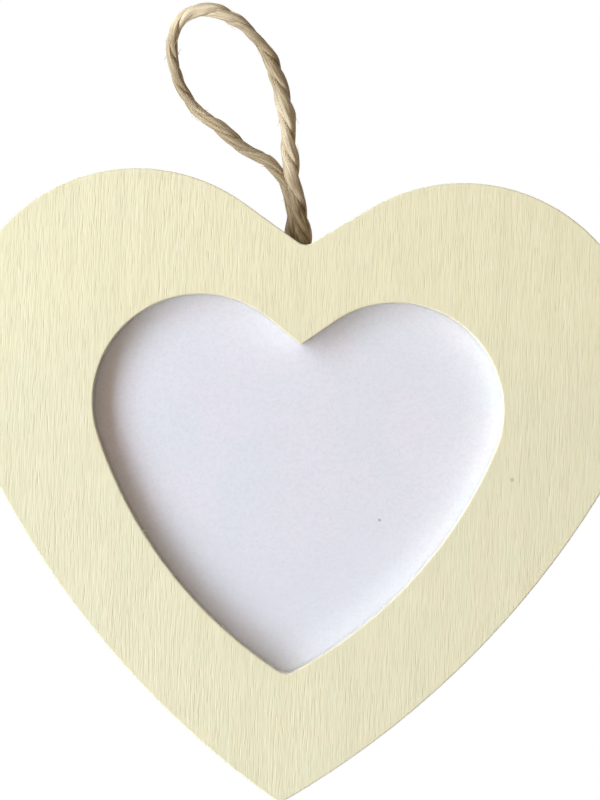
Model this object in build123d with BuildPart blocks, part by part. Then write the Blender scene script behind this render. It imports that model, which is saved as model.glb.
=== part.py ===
from build123d import *
import os
from dataclasses import dataclass
from math import atan2, cos, degrees, radians, sin, sqrt, tan

# Heart shaped photo frame that hangs from a loop of twine, in millimetres.
# +Z is up and the front faces -Y. The origin is the inner top of the loop, where a nail carries it.
# Two plywood layers are glued face to face. The rear one has the wider opening, so the front one
# leaves a lip that the pane, the photo card and the backing board are held against by turn buttons.

# Outline of the heart, seen from the front
heart_lobe_spread = 47.2
heart_lobe_radius = 26.4
heart_shoulder_angle = 33.3
heart_height = 90.4
heart_flank_radius = 130.0
heart_tip_radius = 1.8
heart_cleft_radius = 1.8

# Outline of the window, and how far its lobe tops lie below those of the heart
window_lobe_spread = 28.3
window_lobe_radius = 15.55
window_shoulder_angle = 37.0
window_height = 54.3
window_flank_radius = 64.8
window_tip_radius = 2.2
window_cleft_radius = 0.5
window_drop = 17.7

# Layers, from front to back
panel_thickness = 3.0
pane_thickness = 0.2
photo_thickness = 0.3
board_thickness = 3.2
board_recess = 0.3
rebate_lip = 2.5
rebate_clearance = 0.3
panel_edge_radius = 0.1
ring_edge_radius = 0.4
board_edge_chamfer = 0.3

# Turn buttons: a stamped plate with a pressed bead, its pivot outside the rebate
button_inset = 4.5
button_reach = 5.0
button_head_radius = 3.2
button_tip_radius = 2.2
button_thickness = 0.8
button_edge_radius = 0.2
button_play = 0.1
bead_width = 1.4
bead_height = 0.3
bead_edge_radius = 0.2
upper_button_angle = 50.0
lower_button_angle = -40.0

# Pan head screws that the buttons turn on
screw_radius = 1.1
screw_head_radius = 2.5
screw_head_height = 1.5
screw_head_edge_radius = 0.5
screw_point_length = 1.4
screw_end_gap = 0.2
screw_button_clearance = 0.06
screw_pilot_clearance = 0.02
recess_length = 2.8
recess_width = 0.7
recess_depth = 0.9

# Twine, its knot, and the keyhole slot in the rear ring that holds both
twine_diameter = 2.0
twine_spacing = 2.1
twine_offset = 1.2
twine_slot_clearance = 0.15
knot_radius = 2.6
knot_flat_height = 1.3
knot_clearance = 0.2
knot_edge_radius = 0.6
pocket_below_cleft = 4.2
hook_above_cleft = 32.6
hook_to_axis = 16.0

# Free stretch of the twine as (X, Y, Z), up the right strand, round the loop and down the left one,
# which passes behind the right one
twine_route = [
    (15.7, -0.35, -30.6),
    (15.0, -0.95, -27.6),
    (13.95, -1.0, -24.0),
    (13.3, -0.7, -19.8),
    (12.6, -0.4, -15.4),
    (11.9, -0.2, -11.0),
    (10.3, 0.0, -6.9),
    (7.8, 0.05, -3.1),
    (4.5, 0.1, -0.3),
    (0.5, 0.1, 1.4),
    (-2.8, 0.1, 0.8),
    (-4.75, 0.1, -1.7),
    (-4.75, 0.15, -5.3),
    (-3.7, 0.2, -9.7),
    (-1.2, 0.3, -13.2),
    (2.5, 0.4, -15.8),
    (5.9, 0.5, -18.6),
    (9.8, 0.8, -20.8),
    (13.1, 1.1, -24.1),
    (14.1, 1.2, -27.6),
    (13.75, 0.5, -30.7),
]
route_arc_share = 0.45


@dataclass(frozen=True)
class HeartSize:
    """Outline of a heart whose lobe tops touch the sketch's X axis and whose cleft is on its Y axis."""

    lobe_spread: float
    lobe_radius: float
    shoulder_angle: float
    height: float
    flank_radius: float
    tip_radius: float
    cleft_radius: float

    @property
    def lobe_centre(self):
        return Vector(self.lobe_spread / 2, -self.lobe_radius)

    @property
    def tip_centre(self):
        return Vector(0, self.tip_radius - self.height)

    @property
    def shoulder_normal(self):
        slope = radians(self.shoulder_angle)
        return Vector(-sin(slope), cos(slope))

    def sharp_cleft(self, grow):
        """Where the two straight shoulders would cross, with the outline moved outwards by grow."""
        slope = radians(self.shoulder_angle)
        lobe = self.lobe_centre
        return Vector(0, lobe.Y - lobe.X * tan(slope) + (self.lobe_radius + grow) / cos(slope))

    @property
    def cleft_centre(self):
        rise = self.cleft_radius / cos(radians(self.shoulder_angle))
        return self.sharp_cleft(0) + Vector(0, rise)

    @property
    def cleft_depth(self):
        return self.cleft_radius - self.cleft_centre.Y

    @property
    def flank_centre(self):
        """Centre of the arc that holds the right lobe's circle and the tip's circle, touching both."""
        across = self.tip_centre - self.lobe_centre
        to_lobe = self.flank_radius - self.lobe_radius
        to_tip = self.flank_radius - self.tip_radius
        along = (to_lobe**2 - to_tip**2 + across.length**2) / (2 * across.length)
        aside = sqrt(to_lobe**2 - along**2)
        step = across.normalized()
        return self.lobe_centre + step * along + Vector(step.Y, -step.X) * aside

    def flank_angle(self, end):
        spoke = end - self.flank_centre
        return degrees(atan2(spoke.Y, spoke.X))


class Heart(BaseSketchObject):
    """Filled heart of straight shoulders and tangent arcs, moved outwards by grow."""

    def __init__(self, size, grow=0.0, mode=Mode.ADD):
        lobe_radius = size.lobe_radius + grow
        cleft_radius = size.cleft_radius - grow
        top_angle = size.flank_angle(size.lobe_centre)
        low_angle = size.flank_angle(size.tip_centre)
        shoulder_top = size.lobe_centre + size.shoulder_normal * lobe_radius
        shoulder_foot = size.sharp_cleft(grow)
        if cleft_radius > 0:
            shoulder_foot = size.cleft_centre - size.shoulder_normal * cleft_radius
        with BuildSketch() as heart:
            with BuildLine():
                if cleft_radius > 0:
                    CenterArc(size.cleft_centre, cleft_radius, -90, size.shoulder_angle)
                Line(shoulder_foot, shoulder_top)
                CenterArc(size.lobe_centre, lobe_radius, top_angle, 90 + size.shoulder_angle - top_angle)
                CenterArc(size.flank_centre, size.flank_radius + grow, low_angle, top_angle - low_angle)
                CenterArc(size.tip_centre, size.tip_radius + grow, -90, 90 + low_angle)
                mirror(about=Plane.YZ)
            make_face()
        super().__init__(obj=heart.sketch, rotation=0, align=None, mode=mode)


heart = HeartSize(
    heart_lobe_spread,
    heart_lobe_radius,
    heart_shoulder_angle,
    heart_height,
    heart_flank_radius,
    heart_tip_radius,
    heart_cleft_radius,
)
window = HeartSize(
    window_lobe_spread,
    window_lobe_radius,
    window_shoulder_angle,
    window_height,
    window_flank_radius,
    window_tip_radius,
    window_cleft_radius,
)

# Places along Y: the twine's strands run in the middle of the rear ring
ring_thickness = pane_thickness + photo_thickness + board_thickness + board_recess
ring_back = ring_thickness / 2
panel_back = -ring_thickness / 2
pane_back = panel_back + pane_thickness
photo_back = pane_back + photo_thickness
board_back = photo_back + board_thickness
button_front = ring_back + button_play
button_back = button_front + button_thickness
screw_head_front = button_back + button_play
screw_head_back = screw_head_front + screw_head_height

# Places across the front view, from the point midway between the lobe tops
lobe_top_level = heart.cleft_depth - hook_above_cleft
window_place = (0, -window_drop)
insert_grow = rebate_lip - rebate_clearance
pocket_place = (-twine_offset, -heart.cleft_depth - pocket_below_cleft)
pocket_radius = knot_radius + knot_clearance
neck_width = twine_spacing + twine_diameter + 2 * twine_slot_clearance


def layer_plane(back):
    """Front view plane at depth back, whose normal points to the front."""
    return Plane(origin=(hook_to_axis, back, lobe_top_level), x_dir=(1, 0, 0), z_dir=(0, -1, 0))


def button_place(centre, radius, angle, side):
    """Pivot in the front view, and the direction from it to the middle of the board.

    centre, radius and angle give the pivot on an arc that runs round the right half of the window.
    side is 1 for the right half and -1 for the left half.
    """
    outwards = Vector(cos(radians(angle)), sin(radians(angle)))
    pivot = centre + outwards * (radius + rebate_lip + button_inset) - Vector(0, window_drop)
    return Vector(side * pivot.X, pivot.Y), Vector(-side * outwards.X, -outwards.Y)


button_places = {}
for side_name, side in (("left", -1), ("right", 1)):
    button_places["upper_" + side_name] = button_place(
        window.lobe_centre, window.lobe_radius, upper_button_angle, side
    )
    button_places["lower_" + side_name] = button_place(
        window.flank_centre, window.flank_radius, lower_button_angle, side
    )
pivots = [(pivot.X, pivot.Y) for pivot, inwards in button_places.values()]

os.makedirs("parts", exist_ok=True)

with BuildPart() as front_panel:
    with BuildSketch(layer_plane(panel_back)):
        Heart(heart)
        with Locations(window_place):
            Heart(window, mode=Mode.SUBTRACT)
    extrude(amount=panel_thickness)
    fillet(front_panel.faces().sort_by(Axis.Y)[0].edges(), radius=panel_edge_radius)
front_panel.part.label = "front_panel"
export_step(front_panel.part, "parts/front_panel.step")

with BuildPart() as rear_ring:
    with BuildSketch(layer_plane(ring_back)):
        Heart(heart)
    extrude(amount=ring_thickness)
    fillet(rear_ring.faces().sort_by(Axis.Y)[-1].edges(), radius=ring_edge_radius)
    with BuildSketch(layer_plane(ring_back)):
        with Locations(window_place):
            Heart(window, grow=rebate_lip)
        with Locations(pocket_place):
            Circle(pocket_radius)
            Rectangle(neck_width, -pocket_place[1], align=(Align.CENTER, Align.MIN))
        with Locations(*pivots):
            Circle(screw_radius + screw_pilot_clearance)
    extrude(amount=ring_thickness, mode=Mode.SUBTRACT)
rear_ring.part.label = "rear_ring"
export_step(rear_ring.part, "parts/rear_ring.step")

with BuildPart() as clear_pane:
    with BuildSketch(layer_plane(pane_back)):
        with Locations(window_place):
            Heart(window, grow=insert_grow)
    extrude(amount=pane_thickness)
clear_pane.part.label = "clear_pane"
export_step(clear_pane.part, "parts/clear_pane.step")

with BuildPart() as photo_insert:
    with BuildSketch(layer_plane(photo_back)):
        with Locations(window_place):
            Heart(window, grow=insert_grow)
    extrude(amount=photo_thickness)
photo_insert.part.label = "photo_insert"
export_step(photo_insert.part, "parts/photo_insert.step")

with BuildPart() as backing_board:
    with BuildSketch(layer_plane(board_back)):
        with Locations(window_place):
            Heart(window, grow=insert_grow)
    extrude(amount=board_thickness)
    chamfer(backing_board.faces().sort_by(Axis.Y)[-1].edges(), length=board_edge_chamfer)
backing_board.part.label = "backing_board"
export_step(backing_board.part, "parts/backing_board.step")

button_length = button_inset + button_reach - button_tip_radius
bead_length = button_length + button_tip_radius - screw_head_radius - bead_width
bead_middle = screw_head_radius + bead_width / 2 + bead_length / 2
for corner, (pivot, inwards) in button_places.items():
    pivot_point = layer_plane(0).from_local_coords(pivot)
    button_plane = Plane(
        origin=(pivot_point.X, button_front, pivot_point.Z),
        x_dir=(inwards.X, 0, inwards.Y),
        z_dir=(0, 1, 0),
    )

    with BuildPart() as turn_button:
        with BuildSketch(button_plane):
            Circle(button_head_radius)
            with Locations((button_length, 0)):
                Circle(button_tip_radius)
            make_hull()
        extrude(amount=button_thickness)
        fillet(turn_button.faces().sort_by(Axis.Y)[-1].edges(), radius=button_edge_radius)
        with BuildSketch(button_plane.offset(button_thickness)):
            with Locations((bead_middle, 0)):
                SlotOverall(bead_length, bead_width)
        extrude(amount=bead_height)
        fillet(turn_button.faces().sort_by(Axis.Y)[-1].edges(), radius=bead_edge_radius)
        with BuildSketch(button_plane):
            Circle(screw_radius + screw_button_clearance)
        extrude(amount=button_thickness, mode=Mode.SUBTRACT)
    turn_button.part.label = "turn_button_" + corner
    export_step(turn_button.part, "parts/turn_button_" + corner + ".step")

    screw_axis = Axis((pivot_point.X, 0, pivot_point.Z), (0, 1, 0))
    screw_tip = panel_back + screw_end_gap
    with BuildPart() as button_screw:
        with BuildSketch(Plane(origin=screw_axis.position, x_dir=(1, 0, 0), z_dir=(0, 0, 1))):
            with BuildLine():
                Polyline(
                    (0, screw_tip),
                    (screw_radius, screw_tip + screw_point_length),
                    (screw_radius, screw_head_front),
                    (screw_head_radius, screw_head_front),
                    (screw_head_radius, screw_head_back),
                    (0, screw_head_back),
                    close=True,
                )
            make_face()
        revolve(axis=screw_axis)
        fillet(button_screw.edges().group_by(Axis.Y)[-1], radius=screw_head_edge_radius)
        with BuildSketch(button_plane.offset(screw_head_back - button_front)):
            Rectangle(recess_length, recess_width)
            Rectangle(recess_width, recess_length)
        extrude(amount=-recess_depth, mode=Mode.SUBTRACT)
    button_screw.part.label = "button_screw_" + corner
    export_step(button_screw.part, "parts/button_screw_" + corner + ".step")

# The knot is a flattened ball, cut level where both ends of the twine come out of it
knot_centre = layer_plane(0).from_local_coords(Vector(*pocket_place))
knot_top = knot_centre.Z + knot_flat_height
knot_thickness = ring_thickness - 2 * knot_clearance
with BuildPart() as twine_knot:
    with BuildSketch(layer_plane(knot_thickness / 2)):
        with Locations(pocket_place):
            Circle(knot_radius)
        with Locations((pocket_place[0], pocket_place[1] + knot_flat_height)):
            Rectangle(2 * knot_radius, knot_radius, align=(Align.CENTER, Align.MIN), mode=Mode.SUBTRACT)
    extrude(amount=knot_thickness)
    fillet(twine_knot.edges().filter_by(GeomType.CIRCLE), radius=knot_edge_radius)
twine_knot.part.label = "twine_knot"
export_step(twine_knot.part, "parts/twine_knot.step")

slot_level = (knot_top - hook_above_cleft) / 2
route = [Vector(*point) for point in twine_route]
right_strand = knot_centre.X + twine_spacing / 2
left_strand = knot_centre.X - twine_spacing / 2
route.insert(0, Vector(right_strand, 0, slot_level))
route.insert(0, Vector(right_strand, 0, knot_top))
route.append(Vector(left_strand, 0, slot_level))
route.append(Vector(left_strand, 0, knot_top))

route_radii = []
for before, corner_point, after in zip(route, route[1:], route[2:]):
    run_in = corner_point - before
    run_out = after - corner_point
    half_turn = radians(run_in.get_angle(run_out)) / 2
    route_radii.append(route_arc_share * min(run_in.length, run_out.length) / tan(half_turn))
print("twine radii", [round(radius, 1) for radius in route_radii])

with BuildPart() as hanging_twine:
    with BuildLine() as twine_line:
        FilletPolyline(*route, radius=route_radii)
    with BuildSketch(Plane(origin=twine_line.line @ 0, z_dir=twine_line.line % 0)) as twine_section:
        Circle(twine_diameter / 2)
    sweep()
twine_length = twine_line.wire().length
print("twine length", round(twine_length, 2))
print("twine volume", round(hanging_twine.part.volume, 2))
print("section times length", round(twine_section.sketch.area * twine_length, 2))
hanging_twine.part.label = "hanging_twine"
export_step(hanging_twine.part, "parts/hanging_twine.step")
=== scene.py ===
"""Heart shaped photo frame: the finishes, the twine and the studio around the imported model."""

import logging
import math
import random
from collections.abc import Callable
from dataclasses import dataclass
from enum import Enum

import bpy
from mathutils import Euler, Matrix, Vector, noise


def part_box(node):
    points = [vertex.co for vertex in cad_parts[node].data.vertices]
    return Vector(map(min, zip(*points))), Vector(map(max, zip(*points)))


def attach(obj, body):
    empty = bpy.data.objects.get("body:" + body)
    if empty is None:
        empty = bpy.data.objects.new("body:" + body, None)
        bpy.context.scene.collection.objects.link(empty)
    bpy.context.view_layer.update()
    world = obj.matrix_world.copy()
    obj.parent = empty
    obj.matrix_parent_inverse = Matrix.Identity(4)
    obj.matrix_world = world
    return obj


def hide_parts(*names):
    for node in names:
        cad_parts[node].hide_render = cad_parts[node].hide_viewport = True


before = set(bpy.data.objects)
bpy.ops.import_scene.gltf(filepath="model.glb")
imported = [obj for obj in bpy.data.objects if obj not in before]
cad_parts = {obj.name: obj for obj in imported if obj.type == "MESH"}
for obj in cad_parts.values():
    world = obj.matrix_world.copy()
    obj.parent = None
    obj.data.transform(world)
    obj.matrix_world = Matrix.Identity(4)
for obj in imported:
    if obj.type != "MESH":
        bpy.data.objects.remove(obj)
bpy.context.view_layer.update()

LOG = logging.getLogger("heart_frame")
MM = 0.001
BODY = "frame_body"

Colour = tuple[float, float, float]
Point = tuple[float, float, float]
Span = tuple[float, float]
Ring = list[Vector]
Socket = bpy.types.NodeSocket


class Corner(Enum):
    """Where a turn button sits, seen from the front."""

    UPPER_LEFT = "upper_left"
    LOWER_LEFT = "lower_left"
    UPPER_RIGHT = "upper_right"
    LOWER_RIGHT = "lower_right"


@dataclass(frozen=True)
class Coat:
    """A colour over what is below it, shown by a mask.

    With a span, it eases in as the mask runs from the span's first number to its second.
    """

    colour: Colour
    share: float = 1.0
    span: Span | None = None


def deselect_all() -> None:
    """Leave nothing selected, so that an operator acts only on what is picked next."""
    bpy.ops.object.select_all(action="DESELECT")


def smooth_step(value: float, low: float, high: float) -> float:
    """Ease from 0 at low to 1 at high.

    Args:
        value: The number to place between the two.
        low: Where the result leaves 0.
        high: Where the result reaches 1.

    Returns:
        A share from 0 to 1.
    """
    share = min(1.0, max(0.0, (value - low) / (high - low)))
    return share * share * (3 - 2 * share)


class Shading:
    """Short calls that add nodes to one shader tree and join them."""

    def __init__(self, tree: bpy.types.NodeTree) -> None:
        """Keep the tree that the nodes go into."""
        self.tree = tree

    def node(self, kind: str, **settings: object) -> bpy.types.Node:
        """Add one node.

        Args:
            kind: Blender's name for the node's type.
            settings: Attributes of the node and their values.

        Returns:
            The new node.
        """
        added = self.tree.nodes.new(kind)
        for name, value in settings.items():
            setattr(added, name, value)
        return added

    def feed(self, socket: Socket, source: object) -> None:
        """Join a source socket to a socket, or give the socket its own value.

        Args:
            socket: The socket to feed.
            source: Another socket or a plain value.
        """
        if isinstance(source, Socket):
            self.tree.links.new(source, socket)
        else:
            socket.default_value = source

    def fill(self, node: bpy.types.Node, sources: dict[str, object]) -> Socket:
        """Feed several of a node's inputs by name.

        Args:
            node: The node.
            sources: The inputs' names with their sockets or values.

        Returns:
            The node's first output.
        """
        for name, source in sources.items():
            self.feed(node.inputs[name], source)
        return node.outputs[0]

    def operate(self, kind: str, operation: str, values: tuple[object, ...]) -> bpy.types.NodeOutputs:
        """Add a node that works out a result from its inputs, fed in order.

        Args:
            kind: Blender's name for the node's type.
            operation: Blender's name for the sum.
            values: Sockets or plain values.

        Returns:
            The node's outputs.
        """
        added = self.node(kind, operation=operation)
        for socket, value in zip(added.inputs, values):
            self.feed(socket, value)
        return added.outputs

    def math(self, operation: str, *values: object) -> Socket:
        """Work out one number from others."""
        return self.operate("ShaderNodeMath", operation, values)[0]

    def times(self, first: object, second: object) -> Socket:
        """Multiply two numbers."""
        return self.math("MULTIPLY", first, second)

    def vector(self, operation: str, *values: object) -> Socket:
        """Work out one vector from others."""
        return self.operate("ShaderNodeVectorMath", operation, values)[0]

    def parts(self, vector: Socket) -> bpy.types.NodeOutputs:
        """Split a vector into its three numbers.

        Args:
            vector: The socket with the vector.

        Returns:
            The sockets X, Y and Z.
        """
        added = self.node("ShaderNodeSeparateXYZ")
        self.feed(added.inputs[0], vector)
        return added.outputs

    def span(
        self, value: Socket, low: float, high: float, start: object = 0.0, end: object = 1.0
    ) -> Socket:
        """Ease a number from start at low to end at high.

        Args:
            value: The socket to read.
            low: Where the result leaves start.
            high: Where the result reaches end.
            start: The result at and below low.
            end: The result at and above high.

        Returns:
            The socket with the result.
        """
        added = self.node("ShaderNodeMapRange", interpolation_type="SMOOTHSTEP")
        for socket, source in zip(added.inputs, (value, low, high, start, end)):
            self.feed(socket, source)
        return added.outputs[0]

    def noise(self, place: Socket, scale: object, detail: float = 2.0, rough: float = 0.5) -> Socket:
        """Read cloudy noise at a place.

        Args:
            place: The coordinates.
            scale: How many clouds there are in one unit.
            detail: How many finer layers are added.
            rough: How strong the finer layers are.

        Returns:
            The socket with the noise, from 0 to 1.
        """
        added = self.node("ShaderNodeTexNoise")
        self.fill(added, {"Vector": place, "Scale": scale, "Detail": detail, "Roughness": rough})
        return added.outputs["Fac"]

    def spot(self, place: Socket, middle: Point, radius: float) -> Socket:
        """Mark one small round place with 1, and 0 outside its radius."""
        away = self.operate("ShaderNodeVectorMath", "DISTANCE", (place, middle))["Value"]
        return self.span(away, 0.3 * radius, radius, 1.0, 0.0)

    def mix(self, share: object, first: object, second: object) -> Socket:
        """Lay a second colour over a first one.

        Args:
            share: How much of the second one shows.
            first: The colour below, a socket or three numbers.
            second: The colour on top, a socket or three numbers.

        Returns:
            The socket with the mixed colour.
        """
        added = self.node("ShaderNodeMix", data_type="RGBA")
        self.feed(added.inputs["Factor"], share)
        colours = [socket for socket in added.inputs if socket.type == "RGBA"]
        for socket, source in zip(colours, (first, second)):
            self.feed(socket, (*source, 1.0) if isinstance(source, tuple) else source)
        return [socket for socket in added.outputs if socket.type == "RGBA"][0]

    def coats(self, ground: Colour, *coats: tuple[Coat, Socket]) -> Socket:
        """Lay coats over a ground colour, one after the other.

        Args:
            ground: The colour below all of them.
            coats: Each coat with the mask that shows it.

        Returns:
            The socket with the finished colour.
        """
        colour = ground
        for coat, mask in coats:
            if coat.span:
                share = self.span(mask, *coat.span, 0.0, coat.share)
            else:
                share = self.times(mask, coat.share)
            colour = self.mix(share, colour, coat.colour)
        return colour

    def raised(self, height: Socket, relief: float, **more: object) -> Socket:
        """Tilt the surface as a fine relief would.

        Args:
            height: The relief's height, from 0 to 1.
            relief: How high 1 stands.
            more: Further inputs of the bump node.

        Returns:
            The socket with the tilted normal.
        """
        return self.fill(self.node("ShaderNodeBump"), {"Height": height, "Distance": relief, **more})

    def either(self, share: Socket, first: bpy.types.Node, second: bpy.types.Node) -> Socket:
        """Show a second shader in place of a first one.

        Args:
            share: How much of the second one shows.
            first: The first shader's node.
            second: The second shader's node.

        Returns:
            The socket with the mixed shader.
        """
        added = self.node("ShaderNodeMixShader")
        for socket, source in zip(added.inputs, (share, first.outputs[0], second.outputs[0])):
            self.feed(socket, source)
        return added.outputs[0]

    def group(self, tree: bpy.types.NodeTree, **values: object) -> bpy.types.NodeOutputs:
        """Place a node group.

        Args:
            tree: The group's own tree.
            values: Its inputs, in small letters.

        Returns:
            The placed group's outputs.
        """
        added = self.node("ShaderNodeGroup", node_tree=tree)
        self.fill(added, {name.title(): value for name, value in values.items()})
        return added.outputs


def new_group(
    name: str, inputs: tuple[str, ...], outputs: tuple[str, ...]
) -> tuple[Shading, bpy.types.NodeOutputs, bpy.types.NodeInputs]:
    """Start a shader node group that reads a vector and some numbers and gives numbers.

    Args:
        name: The group's name.
        inputs: The names of the numbers that it reads, next to Vector.
        outputs: The names of the numbers that it gives.

    Returns:
        The group's shading, the sockets that hold its inputs and those that take its outputs.
    """
    tree = bpy.data.node_groups.new(name, "ShaderNodeTree")
    tree.interface.new_socket("Vector", in_out="INPUT", socket_type="NodeSocketVector")
    for way, labels in (("INPUT", inputs), ("OUTPUT", outputs)):
        for label in labels:
            tree.interface.new_socket(label, in_out=way, socket_type="NodeSocketFloat")
    shading = Shading(tree)
    start = shading.node("NodeGroupInput")
    end = shading.node("NodeGroupOutput")
    return shading, start.outputs, end.inputs


def dress(node: str, material: bpy.types.Material) -> None:
    """Give a CAD node's object a finish."""
    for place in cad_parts[node].material_slots:
        place.material = material


class Effects:
    """The effects that several finishes share, each a node group that is built once."""

    def __init__(self) -> None:
        """Build the node groups."""
        self.grain = self.wood_grain()
        self.edges = self.edge_masks()
        self.mottle = self.soft_mottle()

    def wood_grain(self) -> bpy.types.NodeTree:
        """Upright wood grain: fine fibres among longer ones, short pores, pale streaks and broad bands.

        Returns:
            The group. Width and Length are a fine fibre's, in millimetres.
        """
        shading, given, out = new_group(
            "wood_grain", ("Width", "Length"), ("Fibres", "Pores", "Streaks", "Bands")
        )
        fine_share, coarse_share, drift_reach = 0.52, 0.48, 0.3
        place = shading.vector("MULTIPLY", given["Vector"], (1 / MM, 1 / MM, 1 / MM))
        drift = shading.noise(shading.vector("MULTIPLY", place, (0.12, 0.12, 0.03)), 1.0, 1.0)
        sway = shading.node("ShaderNodeCombineXYZ")
        shading.feed(sway.inputs["X"], shading.times(drift, drift_reach))
        size = shading.node("ShaderNodeCombineXYZ")
        shading.fill(size, {"X": given["Width"], "Y": given["Width"], "Z": given["Length"]})
        stretched = shading.vector(
            "DIVIDE", shading.vector("ADD", place, sway.outputs[0]), size.outputs[0]
        )
        # Each noise is read at an offset of its own, so that the four don't line up.
        coarse = shading.noise(shading.vector("ADD", stretched, (31.7, 12.3, 5.9)), 0.52, 1.0)
        pores = shading.noise(shading.vector("ADD", stretched, (8.4, -22.9, 61.3)), 0.8, 0.0)
        streaks = shading.noise(shading.vector("ADD", stretched, (-17.1, 40.6, 23.2)), 0.45, 1.0)
        fine = shading.times(shading.noise(stretched, 1.0, 1.0), fine_share)
        shading.feed(out["Fibres"], shading.math("ADD", fine, shading.times(coarse, coarse_share)))
        shading.feed(out["Pores"], shading.span(pores, 0.66, 0.78))
        shading.feed(out["Streaks"], shading.span(streaks, 0.56, 0.74))
        shading.feed(out["Bands"], shading.noise(stretched, 0.07, 2.0, 0.55))
        return shading.tree

    def edge_masks(self) -> bpy.types.NodeTree:
        """Where a flat piece that faces front and back has its rounded edges and its side walls.

        Returns:
            The group. Patch is how many worn patches there are in a metre.
        """
        shading, given, out = new_group("edge_masks", ("Patch",), ("Edge", "Wall"))
        normal = shading.node("ShaderNodeNewGeometry").outputs["Normal"]
        facing = shading.math("ABSOLUTE", shading.parts(normal)["Y"])
        wall = shading.span(facing, 0.1, 0.4, 1.0, 0.0)
        turned = shading.span(facing, 0.86, 0.995, 1.0, 0.0)
        rim = shading.times(turned, shading.math("SUBTRACT", 1.0, wall))
        patches = shading.noise(given["Vector"], given["Patch"], 3.0, 0.6)
        shading.feed(out["Edge"], shading.times(rim, shading.span(patches, 0.3, 0.6)))
        shading.feed(out["Wall"], wall)
        return shading.tree

    def soft_mottle(self) -> bpy.types.NodeTree:
        """Even clouds and fine specks, for a surface that is nearly one colour.

        Returns:
            The group. Clouds and Specks are how many there are in a metre.
        """
        shading, given, out = new_group("soft_mottle", ("Clouds", "Specks"), ("Cloud", "Speck"))
        shading.feed(out["Cloud"], shading.noise(given["Vector"], given["Clouds"], 3.0, 0.55))
        fine = shading.noise(given["Vector"], given["Specks"], 1.0)
        shading.feed(out["Speck"], shading.span(fine, 0.62, 0.78))
        return shading.tree


class Bench(Shading):
    """The shading of one material, with its Principled node, places on its object and the effects."""

    def __init__(self, name: str, effects: Effects | None = None) -> None:
        """Start a material that has only its Principled shader.

        Args:
            name: The material's name.
            effects: The shared node groups, if it uses any.
        """
        self.material = bpy.data.materials.new(name)
        self.material.use_nodes = True
        self.principled = self.material.node_tree.nodes["Principled BSDF"]
        self.effects = effects
        super().__init__(self.material.node_tree)
        self.place = self.node("ShaderNodeTexCoord").outputs["Object"]

    def marks(self, clouds: float = 0.0, specks: float = 0.0) -> bpy.types.NodeOutputs:
        """Read the soft mottle, with so many clouds and specks in a metre."""
        return self.group(self.effects.mottle, vector=self.place, clouds=clouds, specks=specks)

    def masks(self, patches: float) -> bpy.types.NodeOutputs:
        """Read the edge masks, with so many worn patches in a metre."""
        return self.group(self.effects.edges, vector=self.place, patch=patches)

    def finish(self, sources: dict[str, object]) -> None:
        """Feed the Principled node's inputs by name."""
        self.fill(self.principled, sources)

    def cover(self, share: Socket, shader: bpy.types.Node) -> None:
        """Show another shader in place of the Principled one, as far as the share says."""
        mixed = self.either(share, self.principled, shader)
        self.feed(self.tree.nodes["Material Output"].inputs["Surface"], mixed)


@dataclass(frozen=True)
class Finish:
    """A finish that is built as one material, named like its slot."""

    name: str

    def material(self, effects: Effects) -> bpy.types.Material:
        """Build the finish.

        Args:
            effects: The shared node groups.

        Returns:
            The material.
        """
        bench = Bench(self.name, effects)
        self.lay(bench)
        return bench.material

    def lay(self, bench: Bench) -> None:
        """Lay the finish's coats, its relief and its gloss.

        Args:
            bench: The material's shading.
        """
        raise NotImplementedError


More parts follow.
